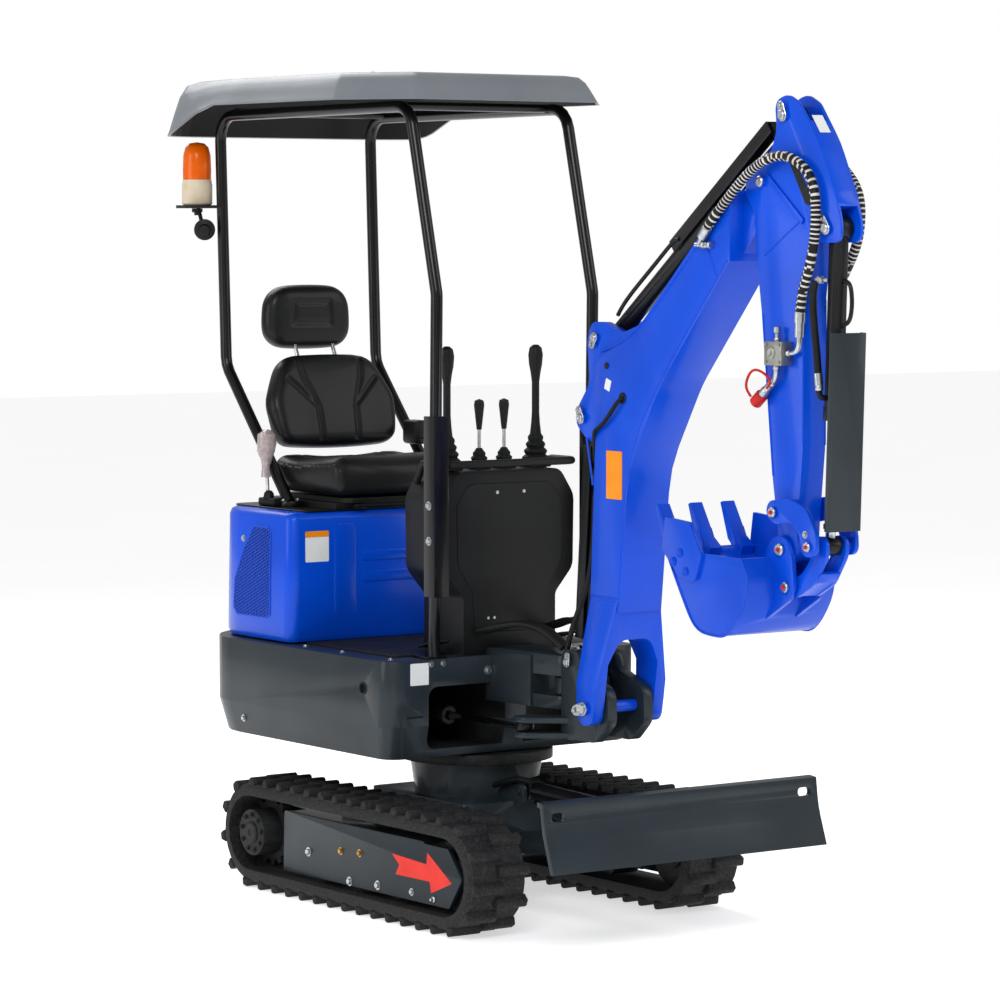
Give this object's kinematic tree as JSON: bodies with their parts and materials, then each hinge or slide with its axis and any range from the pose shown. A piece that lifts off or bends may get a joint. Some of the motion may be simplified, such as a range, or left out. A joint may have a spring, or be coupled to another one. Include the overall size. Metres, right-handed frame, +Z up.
{
  "type": "mini excavator",
  "caption": "Compact tracked excavator with a slewing upper body, open canopy, seat and console, swing boom, arm, bucket and a dozer blade, all on real hinges and rams.",
  "frame": {"origin": "on the ground under the middle of the whole object's box, 288.4 mm in front of the slew axis", "axes": "+Z up, -Y the way the machine faces, +X the driver's left"},
  "size_m": [0.9, 2.6368, 2.295],
  "materials": {
    "blue_enamel": "gloss enamel",
    "slate_enamel": "satin enamel",
    "black_enamel": "satin enamel",
    "ram_enamel": "satin enamel",
    "hub_enamel": "satin enamel",
    "track_rubber": "matt",
    "black_plastic": "matt",
    "black_vinyl": "grained vinyl",
    "roof_plastic": "satin",
    "amber_lens": "clear gloss"
  },
  "bodies": {
    "undercarriage": {"track_right": "track_rubber", "track_left": "track_rubber", "track_frame_right": "slate_enamel", "track_frame_left": "slate_enamel", "sprocket_right": "hub_enamel", "sprocket_left": "hub_enamel", "idler_right": "hub_enamel", "idler_left": "hub_enamel", "centre_frame": "slate_enamel", "slew_ring": "hub_enamel"},
    "upper": {"deck": "slate_enamel", "hood": "blue_enamel", "engine_block": "hub_enamel", "floor_mat": "track_rubber", "seat_base": "black_plastic", "seat_cushion": "black_vinyl", "seat_back": "black_vinyl", "headrest": "black_vinyl", "console": "black_plastic", "joystick_right": "black_plastic", "joystick_left": "black_plastic", "travel_lever_right": "black_plastic", "travel_lever_left": "black_plastic", "canopy_frame": "black_enamel", "canopy_roof": "roof_plastic", "beacon": "amber_lens"},
    "swing_post": {"swing_bracket": "slate_enamel"},
    "boom": {"boom": "blue_enamel"},
    "arm": {"arm": "blue_enamel"},
    "bucket": {"bucket": "blue_enamel"},
    "blade": {"dozer_blade": "slate_enamel"},
    "rocker": {"rocker_right": "blue_enamel", "rocker_left": "blue_enamel"},
    "bucket_push_link": {"bucket_link": "blue_enamel"},
    "boom_ram_barrel": {"boom_ram_barrel": "ram_enamel"},
    "boom_ram_rod": {"boom_ram_rod": "ram_enamel"},
    "arm_ram_barrel": {"arm_ram_barrel": "ram_enamel"},
    "arm_ram_rod": {"arm_ram_rod": "ram_enamel"},
    "bucket_ram_barrel": {"bucket_ram_barrel": "ram_enamel"},
    "bucket_ram_rod": {"bucket_ram_rod": "ram_enamel"},
    "blade_ram_barrel": {"blade_ram_barrel": "ram_enamel"},
    "blade_ram_rod": {"blade_ram_rod": "ram_enamel"},
    "swing_ram_barrel": {"swing_ram_barrel": "ram_enamel"},
    "swing_ram_rod": {"swing_ram_rod": "ram_enamel"}
  },
  "joints": [
    {"name": "slew", "type": "hinge", "parent": "undercarriage", "child": "upper", "pos_m": [0, 0.2884, 0.424], "axis": [0, 0, 1], "continuous": true},
    {"name": "swing", "type": "hinge", "parent": "upper", "child": "swing_post", "pos_m": [0, -0.1616, 0.64], "axis": [0, 0, 1], "range_deg": [-55, 55]},
    {"name": "boom_lift", "type": "hinge", "parent": "swing_post", "child": "boom", "pos_m": [0, -0.3786, 0.601], "axis": [-1, 0, 0], "range_deg": [-88, 8]},
    {"name": "arm_crowd", "type": "hinge", "parent": "boom", "child": "arm", "pos_m": [0, -1.0166, 1.985], "axis": [1, 0, 0], "range_deg": [-100, 5]},
    {"name": "bucket_curl", "type": "hinge", "parent": "arm", "child": "bucket", "pos_m": [0, -1.1146, 1.069], "axis": [1, 0, 0], "range_deg": [-112, 10]},
    {"name": "blade_lift", "type": "hinge", "parent": "undercarriage", "child": "blade", "pos_m": [0, -0.0416, 0.2], "axis": [-1, 0, 0], "range_deg": [-36, 5]},
    {"name": "boom_ram_pivot", "type": "hinge", "parent": "swing_post", "child": "boom_ram_barrel", "pos_m": [0, -0.2536, 0.711], "axis": [1, 0, 0], "range_deg": [-8.84, 87.22]},
    {"name": "boom_ram_stroke", "type": "slide", "parent": "boom_ram_barrel", "child": "boom_ram_rod", "axis": [0, -0.0731, 0.9973], "range_m": [-0.0249, 0.2341]},
    {"name": "arm_ram_pivot", "type": "hinge", "parent": "boom", "child": "arm_ram_barrel", "pos_m": [0, -0.3586, 1.58], "axis": [1, 0, 0], "range_deg": [-7.25, 1.31]},
    {"name": "arm_ram_stroke", "type": "slide", "parent": "arm_ram_barrel", "child": "arm_ram_rod", "axis": [0, -0.7939, 0.608], "range_m": [-0.2736, 0.0175]},
    {"name": "bucket_ram_pivot", "type": "hinge", "parent": "arm", "child": "bucket_ram_barrel", "pos_m": [0, -1.2696, 1.869], "axis": [1, 0, 0], "range_deg": [-1.35, 4.92]},
    {"name": "bucket_ram_stroke", "type": "slide", "parent": "bucket_ram_barrel", "child": "bucket_ram_rod", "axis": [0, 0.0356, -0.9994], "range_m": [-0.1841, 0.0201]},
    {"name": "blade_ram_pivot", "type": "hinge", "parent": "undercarriage", "child": "blade_ram_barrel", "pos_m": [0, 0.0264, 0.33], "axis": [1, 0, 0], "range_deg": [-5.12, 30.67]},
    {"name": "blade_ram_stroke", "type": "slide", "parent": "blade_ram_barrel", "child": "blade_ram_rod", "axis": [0, -0.9996, -0.0279], "range_m": [-0.0131, 0.0693]},
    {"name": "swing_ram_pivot", "type": "hinge", "parent": "upper", "child": "swing_ram_barrel", "pos_m": [-0.2, 0.5384, 0.5325], "axis": [0, 0, 1], "range_deg": [-4.01, 4.01]},
    {"name": "swing_ram_stroke", "type": "slide", "parent": "swing_ram_barrel", "child": "swing_ram_rod", "axis": [0.0879, -0.9961, 0], "range_m": [-0.114, 0.114]},
    {"name": "rocker_turn", "type": "hinge", "parent": "arm", "child": "rocker", "pos_m": [0, -1.1056, 1.162], "axis": [1, 0, 0], "range_deg": [-76.71, 7.76]},
    {"name": "link_turn", "type": "hinge", "parent": "bucket", "child": "bucket_push_link", "pos_m": [0, -1.1356, 0.976], "axis": [1, 0, 0], "range_deg": [-7.98, 79.13]}
  ],
  "couplings": [
    {"joint": "boom_ram_pivot", "follows": "boom_lift", "ratio": -0.97976},
    {"joint": "boom_ram_stroke", "follows": "boom_lift", "m_per_rad": -0.14982},
    {"joint": "arm_ram_pivot", "follows": "arm_crowd", "ratio": 0.06247},
    {"joint": "arm_ram_stroke", "follows": "arm_crowd", "m_per_rad": 0.15447},
    {"joint": "bucket_ram_pivot", "follows": "bucket_curl", "ratio": -0.035},
    {"joint": "bucket_ram_stroke", "follows": "bucket_curl", "m_per_rad": 0.092132},
    {"joint": "blade_ram_pivot", "follows": "blade_lift", "ratio": -0.82416},
    {"joint": "blade_ram_stroke", "follows": "blade_lift", "m_per_rad": -0.10389},
    {"joint": "swing_ram_pivot", "follows": "swing", "ratio": -0.054646},
    {"joint": "swing_ram_stroke", "follows": "swing", "m_per_rad": 0.11463},
    {"joint": "rocker_turn", "follows": "bucket_curl", "ratio": 0.676},
    {"joint": "link_turn", "follows": "bucket_curl", "ratio": -0.6976}
  ]
}
